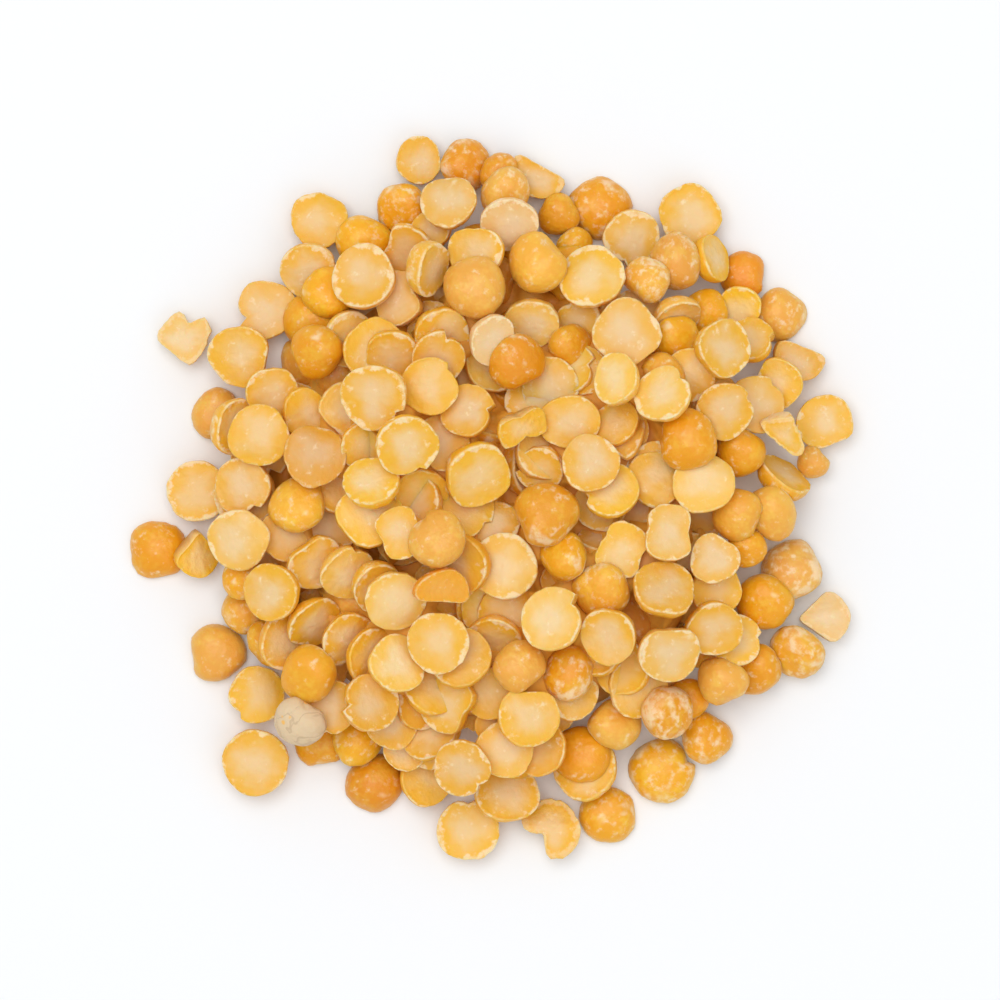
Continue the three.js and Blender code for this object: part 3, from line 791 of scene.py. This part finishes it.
# fine grain of the dry flesh over shallow dents
def peaGrainGroup():
    tree, given, result = newTree("peaGrain", "ShaderNodeTree", {
        "Place": "Vector", "Grain Scale": 22.0, "Dent Scale": 4.0,
    }, {"Height": "Float"})
    grain = cloud(tree, given.outputs["Place"], given.outputs["Grain Scale"], 2.0, 0.6)
    dents = cloud(tree, given.outputs["Place"], given.outputs["Dent Scale"], 1.0)
    tree.links.new(calc(tree, "ADD", calc(tree, "MULTIPLY", grain, 0.25), dents), result.inputs["Height"])
    return tree


peaPlace = peaPlaceGroup()
peaTone = peaToneGroup()
rimWear = rimWearGroup()
chalkScuffs = chalkScuffsGroup()
peaGrain = peaGrainGroup()


def newMaterial(name):
    material = bpy.data.materials.new(name)
    material.use_nodes = True
    return material, material.node_tree, material.node_tree.nodes["Principled BSDF"]


def setRelief(tree, shader, finish, height):
    inputs = {"Strength": finish["bump"], "Distance": finish["bumpDepth"], "Height": height}
    tree.links.new(addNode(tree, "ShaderNodeBump", inputs).outputs[0], shader.inputs["Normal"])


def setGlow(shader, finish):
    shader.inputs["Subsurface Weight"].default_value = finish["glow"]
    shader.inputs["Subsurface Radius"].default_value = finish["glowRadius"]
    shader.inputs["Subsurface Scale"].default_value = finish["glowDepth"]


def peaMaterial(name, finish):
    material, tree, shader = newMaterial(name)
    where = addNode(tree, "ShaderNodeGroup", node_tree=peaPlace)
    place, span = where.outputs["Place"], where.outputs["Span"]
    tone, rim, scuffs, grain = (
        addNode(tree, "ShaderNodeGroup", node_tree=group)
        for group in (peaTone, rimWear, chalkScuffs, peaGrain)
    )
    for node in (tone, rim, scuffs):
        tree.links.new(span, node.inputs["Span"])
    for node in (tone, rim, scuffs, grain):
        tree.links.new(place, node.inputs["Place"])
    tree.links.new(where.outputs["Around"], rim.inputs["Around"])
    tree.links.new(where.outputs["Orange"], tone.inputs["Orange"])
    tree.links.new(where.outputs["Light"], tone.inputs["Light"])
    for key, color in finish["tones"].items():
        tone.inputs[key].default_value = color
    rim.inputs["Width"].default_value = finish["rimWidth"]
    more = calc(tree, "MULTIPLY", where.outputs["Chalk"], finish["rimChalk"])
    tree.links.new(calc(tree, "ADD", more, finish["rimCover"]), rim.inputs["Cover"])
    tree.links.new(calc(tree, "ADD", where.outputs["Chalk"], finish["scuffs"]), scuffs.inputs["Amount"])
    chalk = calc(
        tree, "MAXIMUM", calc(tree, "MULTIPLY", rim.outputs[0], finish["rimPale"]),
        calc(tree, "MULTIPLY", scuffs.outputs[0], finish["scuffPale"]),
    )
    color = mixColor(tree, chalk, tone.outputs[0], finish["chalk"])
    if "torn" in finish:
        torn = calc(tree, "MULTIPLY", where.outputs["Torn"], finish["tornPale"])
        color = mixColor(tree, torn, color, finish["torn"])
    tree.links.new(color, shader.inputs["Base Color"])
    skin = rise(tree, span, 0.99, 1.1, finish["faceRoughness"], finish["domeRoughness"])
    levels = {0: chalk, 2: skin, 3: finish["chalkRoughness"]}
    rough = addNode(tree, "ShaderNodeMix", levels, data_type="FLOAT")
    tree.links.new(rough.outputs[0], shader.inputs["Roughness"])
    setRelief(tree, shader, finish, grain.outputs[0])
    shader.inputs["Specular IOR Level"].default_value = finish["shine"]
    setGlow(shader, finish)
    return material


# the one pea that still has its dry seed coat, greyish cream and wrinkled, with painted shade darkening the
# wrinkle lines
seedCoat = {
    "light": (0.73, 0.555, 0.345, 1), "shadedTone": (0.6, 0.44, 0.27, 1), "patch": (0.86, 0.48, 0.12, 1),
    "wrinkleScale": 0.9, "roughness": 0.7, "bump": 0.4, "bumpDepth": 0.0003,
    "glow": 0.15, "glowRadius": (1.0, 0.5, 0.25), "glowDepth": 0.0008,
}


def seedCoatMaterial():
    material, tree, shader = newMaterial("drySeedCoat")
    where = addNode(tree, "ShaderNodeGroup", node_tree=peaPlace)
    grain = addNode(tree, "ShaderNodeGroup", node_tree=peaGrain)
    place = where.outputs["Place"]
    tree.links.new(place, grain.inputs["Place"])
    folds = addNode(tree, "ShaderNodeTexNoise", {
        "Vector": place, "Scale": seedCoat["wrinkleScale"], "Detail": 3.0, "Distortion": 0.8,
    }).outputs["Fac"]
    crease = calc(tree, "ABSOLUTE", calc(tree, "SUBTRACT", folds, 0.5))
    # painted shade: thin darker lines where the coat folds
    color = mixColor(tree, rise(tree, crease, 0.0, 0.03), seedCoat["shadedTone"], seedCoat["light"])
    bare = rise(tree, cloud(tree, place, 1.1, 3.0), 0.7, 0.74)
    tree.links.new(mixColor(tree, bare, color, seedCoat["patch"]), shader.inputs["Base Color"])
    rough = rise(tree, grain.outputs[0], 0.3, 0.9, seedCoat["roughness"] - 0.08, seedCoat["roughness"] + 0.12)
    tree.links.new(rough, shader.inputs["Roughness"])
    setRelief(tree, shader, seedCoat, calc(tree, "ADD", grain.outputs[0], rise(tree, crease, 0.0, 0.15)))
    setGlow(shader, seedCoat)
    return material


wholeMaterial = peaMaterial("splitPeaWhole", wholeFinish)
brokenMaterial = peaMaterial("splitPeaBroken", brokenFinish)
coatMaterial = seedCoatMaterial()
print("materials ready")

# peas that differ from the rest: warmth, lightness and chalk on top of the usual draw
tintOf = {
    (-0.5, 18): (-0.38, 0, 0.3), (28, 25): (0.7, 0, -0.4), (-2.5, 37): (0.3, 0, 0.5),
    (-37, -5.5): (0.35, 0, 0.1), (-34, 18): (-0.35, 0.04, 0.6), (31.5, 7): (-0.1, 0.08, 1.6),
    (10, -28): (0.2, 0, -0.2), (12, 32.5): (0.1, 0, 0.2), (6.5, -36.5): (0.3, 0.09, 1.6),
    (-6, -10): (0.9, 0, 0), (36.5, -13): (-0.3, 0, 0.3), (-32.5, -5.5): (0.15, 0.05, -0.3),
    (19.5, -23.5): (0, 0, 0.9), (17.5, 24): (0, 0, 1.0), (33, -7.5): (-0.1, 0, 0.7),
    (24, -26): (0.1, 0, 0.6), (19, -30): (0.05, 0, 0.5), (33.5, -17): (0, 0, 0.45),
    (2.5, 15): (0.3, -0.04, -0.2), (6.5, -2): (0.1, -0.04, 0.3), (8.5, 17): (0.1, 0, -0.3),
    (-20, -19): (0.1, 0, -0.4), (-10, 32): (0, 0, 0.7), (2, 31): (-0.25, 0, 0.8),
    (-3, -29): (0, -0.05, 0.2), (-20, 4.5): (0.1, -0.05, 0), (-13, -31.5): (-0.05, -0.09, 0.1),
    (2.5, 8.5): (0.2, 0.08, -0.3),
}
# shapes that can be made out from above, with the bearing of their feature
shapeAt = {
    (-13.5, 24): ("hollow", 250), (14.5, 18.5): ("squarish", 45), (-0.5, 18): ("kidney", 0),
    (-12, 11.5): ("stepped", 330), (9, 9): ("oval", 0), (-2, 3.5): ("squarish", 20),
    (11, 3.5): ("round", 0), (-20, 4.5): ("chipped", 80), (-27, -3.5): ("chipped", 50),
    (-23, -9.5): ("round", 0), (2, -7.5): ("halfCreased", 340), (-5.5, -15.5): ("creased", 190),
    (7.5, -13): ("hooked", 35), (4, -23.5): ("flatSide", 90), (19, -4): ("waisted", 0),
    (18.5, -16): ("flatSide", 90), (-19, 31): ("chipped", 60), (-8, 37.5): ("egg", 90),
    (22, 31.5): ("squarish", 30), (-26, -29): ("round", 0), (37, 8.5): ("flatSide", 290),
    (-32.5, 1): ("round", 0), (1.5, -32.5): ("kidney", 90), (-2.5, -36.5): ("notched", 90),
    (27.5, 21): ("kidney", 340), (31.5, 13): ("flatSide", 150), (-6, -4.5): ("stepped", 120),
    (-1.5, 28): ("kidney", 90), (-13.5, 16.5): ("notched", 270), (-9.5, 6.5): ("stepped", 300),
    (-25.5, 7): ("creased", 260), (8.5, 17): ("flatSide", 215), (-10.5, -10): ("creased", 300),
    (-11, -17.5): ("creased", 35), (-16.5, -14): ("halfCreased", 150), (4, 20.5): ("egg", 200),
    (-14, -16): ("creased", 150), (-11, -24): ("creased", 120), (18.5, -10.5): ("squarish", 0),
    (24, -13.5): ("hollow", 0), (14.5, 12.5): ("oval", 90), (19.5, 10.5): ("notched", 40),
    (25, 10.5): ("halfCreased", 180), (23.5, 1.5): ("chipped", 60), (-19.5, 16): ("twoSides", 200),
    (21.5, 6.5): ("flatSide", 180), (24, -26): ("twoSides", 60), (28, 25): ("flatSide", 0),
}
coatedPlace = (-21, -24.5)
peaMix = {
    "face": ("round", *wholeShapes),
    "dome": ("round", "oval", "egg", "squarish", "flatSide", "twoSides", "stepped"),
    "steep": ("round", "oval", "egg", "creased", "halfCreased", "flatSide"),
    "edge": ("round", "oval", "flatSide", "egg"),
}
peaLooks = {
    "orange": 0.14, "palest": -0.12, "light": 0.03, "chalk": 0.22, "shift": 40.0, "rock": 0.06,
    "gapShadeOrange": 0.15,    # painted shade: peas deep in the gaps get a deeper, warmer colour, standing for the shade and orange bounce light there
    "seed": 41,
}
looks = np.random.default_rng(peaLooks["seed"])


# finish of a pea that doesn't follow from how it lies
def lookOf(pea):
    rows = peaMix.get(pea["lie"])
    twist = looks.uniform(0, 2 * math.pi)
    if pea["lie"] == "half":
        choices = brokenNumbers[pea["shape"]]
        twist = 0.0
    elif pea["place"] in shapeAt:
        shape, bearing = shapeAt[pea["place"]]
        choices = wholeNumbers[shape]
        twist = math.radians(bearing if pea["lie"] == "dome" else -bearing) + pea["low"]
    else:
        choices = wholeNumbers[rows[looks.integers(len(rows))]]
    c, s = math.cos(twist), math.sin(twist)
    turn = pea["turn"] @ np.array([[c, -s, 0], [s, c, 0], [0, 0, 1]])
    if pea["place"] is None:
        rock = looks.normal(0, peaLooks["rock"], 2)
        turn = turnOf({"lie": "dome", "low": 0.0}, rock[0], rock[1]) @ turn
    tint = np.array([
        max(looks.normal(0, peaLooks["orange"]), peaLooks["palest"]), looks.normal(0, peaLooks["light"]),
        looks.normal(0, peaLooks["chalk"]),
    ])
    tint += np.array(tintOf.get(pea["place"], (0, 0, 0)))
    return {
        "shape": choices[looks.integers(len(choices))], "tint": tint,
        "shift": looks.uniform(0, peaLooks["shift"], 3), "turn": Matrix(turn.tolist()).to_quaternion(),
        "at": pea["faceMiddle"] / 1000, "size": pea["width"] / 2000,    # metres, and the half width
    }


def scatterPiece(name, chosen, collection, material, settings):
    mesh = bpy.data.meshes.new(name + "Places")
    mesh.from_pydata([tuple(pea["at"]) for pea in chosen], [], [])
    for key, kind in (
        ("turn", "QUATERNION"), ("size", "FLOAT"), ("shape", "INT"), ("tint", "FLOAT_VECTOR"),
        ("shift", "FLOAT_VECTOR"),
    ):
        setAttribute(mesh, key, kind, [pea[key] for pea in chosen])
    places = bpy.data.objects.new(name + "Places", mesh)
    bpy.context.scene.collection.objects.link(places)
    modifier = places.modifiers.new("scatter", "NODES")
    modifier.node_group = peaScatter
    wanted = dict(settings, Shapes=collection, Finish=material)
    for item in peaScatter.interface.items_tree:
        if item.in_out == "INPUT" and item.name in wanted:
            modifier[item.identifier] = wanted[item.name]
    depsgraph = bpy.context.evaluated_depsgraph_get()
    real = bpy.data.meshes.new_from_object(
        places.evaluated_get(depsgraph), preserve_all_data_layers=True, depsgraph=depsgraph,
    )
    places.modifiers.clear()
    bpy.data.objects.remove(places)
    real.name = name
    spots = np.empty(3 * len(real.vertices), np.float32)
    real.vertices.foreach_get("co", spots)
    spots[2::3] = np.maximum(spots[2::3], 0)    # nothing goes through the table
    real.vertices.foreach_set("co", spots)
    for used in ("turn", "size", "shape"):
        if used in real.attributes:
            real.attributes.remove(real.attributes[used])
    piece = bpy.data.objects.new(name, real)
    bpy.context.scene.collection.objects.link(piece)
    return piece


everyPea = {"Warp Scale": 0.75, "Dent Scale": 3.2, "Seed": 3.0}
faceUpPeas = dict(everyPea, Warp=0.16, Dents=0.03)
domeUpPeas = dict(everyPea, Warp=0.2, Dents=0.05)
lowerPeas = dict(everyPea, Warp=0.16, Dents=0.02)
edgePeas = dict(everyPea, Warp=0.16, Dents=0.03)
brokenPeas = dict(everyPea, Warp=0.1, Dents=0.05)
coatedPea = dict(everyPea, Warp=0.22, Dents=0.06)
chosen = {"face": [], "steep": [], "dome": [], "edge": [], "half": [], "coated": []}
for pea in peas:
    chosen["coated" if pea["place"] == coatedPlace else pea["lie"]].append(lookOf(pea))
chosen["gap"] = [lookOf(pea) for pea in gapPeas]
# painted shade: the lower peas are made more orange for the shade and bounce light deep in the gaps
for look in chosen["gap"]:
    look["tint"][0] += peaLooks["gapShadeOrange"]
pieces = [
    scatterPiece("faceUpPeas", chosen["face"] + chosen["steep"], wholeCollection, wholeMaterial, faceUpPeas),
    scatterPiece("domeUpPeas", chosen["dome"], wholeCollection, wholeMaterial, domeUpPeas),
    scatterPiece("lowerPeas", chosen["gap"], wholeCollection, wholeMaterial, lowerPeas),
    scatterPiece("edgePeas", chosen["edge"], wholeCollection, wholeMaterial, edgePeas),
    scatterPiece("brokenPeas", chosen["half"], brokenCollection, brokenMaterial, brokenPeas),
    scatterPiece("coatedPea", chosen["coated"], wholeCollection, coatMaterial, coatedPea),
]
print("peas in", len(pieces), "pieces,", sum(len(piece.data.polygons) for piece in pieces), "faces")

# what lies below the peas that show: a low mound with the bumps of buried peas, coloured darker than the peas
# above as painted shade in the gaps between them
core = {
    "foot": 25.5, "depth": 3.6, "blurs": 60, "leastHeight": 0.3, "inside": 0.7,
    "rings": 40, "sides": 96, "bumps": 260, "bumpWidth": 6.4, "bumpHeight": 1.4,
}


def coreMesh():
    grid = heights.reshape(cellsAcross, cellsAcross)
    level = blurred(grid, core["blurs"])
    bare = grid < np.maximum(0, heap["bedHeight"] * bedShape) + 0.05
    under = np.where(bare, level, grid)
    for turn in range(2):    # stays inside the peas next to a place as well
        for way in ((1, 0), (-1, 0), (1, 1), (-1, 1)):
            under = np.minimum(under, np.roll(under, *way))
    k = np.arange(core["bumps"])
    distance = core["foot"] * np.sqrt((k + 0.5) / core["bumps"])
    bumpX, bumpY = distance * np.cos(k * goldenAngle), distance * np.sin(k * goldenAngle)

    def pointAt(r, angle, foot):
        x, y = r * math.cos(angle), r * math.sin(angle)
        away = 2 * np.hypot(bumpX - x, bumpY - y) / core["bumpWidth"]
        bump = core["bumpHeight"] * float(np.sqrt(np.clip(1 - away ** 2, 0, 1)).max())
        at = int(cellAt(np.array(x), np.array(y)))
        z = min(level.flat[at] - core["depth"] + bump, under.flat[at] - core["inside"])
        return (x / 1000, y / 1000, foot * max(core["leastHeight"], z) / 1000)

    count = core["sides"]
    points = [(0, 0, 0)]
    for ring in range(core["rings"]):
        r = core["foot"] * (1 - ring / core["rings"])
        points += [pointAt(r, 2 * math.pi * side / count, min(1.0, ring / 3)) for side in range(count)]
    points.append(pointAt(0, 0, 1.0))
    mesh = ringMesh("heapCore", points, count)
    mesh.shade_smooth()
    return mesh


# painted shade: the buried peas' colour with darker patches, for the shade deep in the gaps
shadedBuriedFinish = {
    "light": (0.82, 0.4, 0.04, 1), "shadedTone": (0.68, 0.28, 0.02, 1), "scale": 260.0, "roughness": 0.5,
}


def shadedBuriedMaterial():
    material, tree, shader = newMaterial("buriedPeas")
    place = addNode(tree, "ShaderNodeTexCoord").outputs["Object"]
    tone = cloud(tree, place, shadedBuriedFinish["scale"], 3.0)
    # painted shade: mottled between a shaded tone and a pea tone
    color = mixColor(tree, rise(tree, tone, 0.35, 0.65), shadedBuriedFinish["shadedTone"], shadedBuriedFinish["light"])
    tree.links.new(color, shader.inputs["Base Color"])
    rough = rise(tree, tone, 0.3, 0.7, shadedBuriedFinish["roughness"], shadedBuriedFinish["roughness"] + 0.2)
    tree.links.new(rough, shader.inputs["Roughness"])
    return material


coreObject = bpy.data.objects.new("heapCore", coreMesh())
coreObject.data.materials.append(shadedBuriedMaterial())
bpy.context.scene.collection.objects.link(coreObject)
pieces.append(coreObject)
print("core ready")

for collection in (wholeCollection, brokenCollection):
    for shapeObject in list(collection.objects):
        bpy.data.objects.remove(shapeObject)
    bpy.data.collections.remove(collection)

for piece in pieces:
    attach(piece, "root")
    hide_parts("split_pea_heap")

# bare white table, large soft key from the far side, weak fill
studio = {
    "floorSide": 3.0, "floor": (0.87, 0.888, 0.912, 1), "floorRoughness": 0.7, "sky": 0.63,
    "keyAt": (-0.12, 0.18, 0.95), "keySide": 0.7, "keyPower": 4.85,
    "fillAt": (0.3, -0.4, 0.6), "fillSide": 0.6, "fillPower": 0.6,
    "cameraAt": (0.001, 0.0, 0.6), "frameWidth": 0.1111, "sensor": 36.0,
}


def softLight(name, at, side, power):
    light = bpy.data.lights.new(name, "AREA")
    light.shape = "SQUARE"
    light.size = side
    light.energy = power
    lamp = bpy.data.objects.new(name, light)
    lamp.location = at
    lamp.rotation_euler = (-lamp.location).to_track_quat("-Z", "Y").to_euler()
    bpy.context.scene.collection.objects.link(lamp)
    return lamp


def setStage():
    half = studio["floorSide"] / 2
    mesh = bpy.data.meshes.new("whiteTable")
    corners = [(-half, -half, 0), (half, -half, 0), (half, half, 0), (-half, half, 0)]
    mesh.from_pydata(corners, [], [(0, 1, 2, 3)])
    table = bpy.data.objects.new("whiteTable", mesh)
    material, _, shader = newMaterial("whiteTable")
    shader.inputs["Base Color"].default_value = studio["floor"]
    shader.inputs["Roughness"].default_value = studio["floorRoughness"]
    mesh.materials.append(material)
    bpy.context.scene.collection.objects.link(table)
    softLight("keyLight", studio["keyAt"], studio["keySide"], studio["keyPower"])
    softLight("fillLight", studio["fillAt"], studio["fillSide"], studio["fillPower"])
    world = bpy.data.worlds.new("studio")
    world.use_nodes = True
    background = world.node_tree.nodes["Background"]
    background.inputs["Color"].default_value = (1, 1, 1, 1)
    background.inputs["Strength"].default_value = studio["sky"]
    bpy.context.scene.world = world
    bpy.context.scene.view_settings.view_transform = "Standard"


def setCamera():
    camera = bpy.data.cameras.new("camera")
    camera.sensor_width = studio["sensor"]
    camera.lens = studio["sensor"] * studio["cameraAt"][2] / studio["frameWidth"]
    holder = bpy.data.objects.new("camera", camera)
    holder.location = studio["cameraAt"]
    bpy.context.scene.collection.objects.link(holder)
    bpy.context.scene.camera = holder


setStage()
setCamera()
print("stage and camera set")
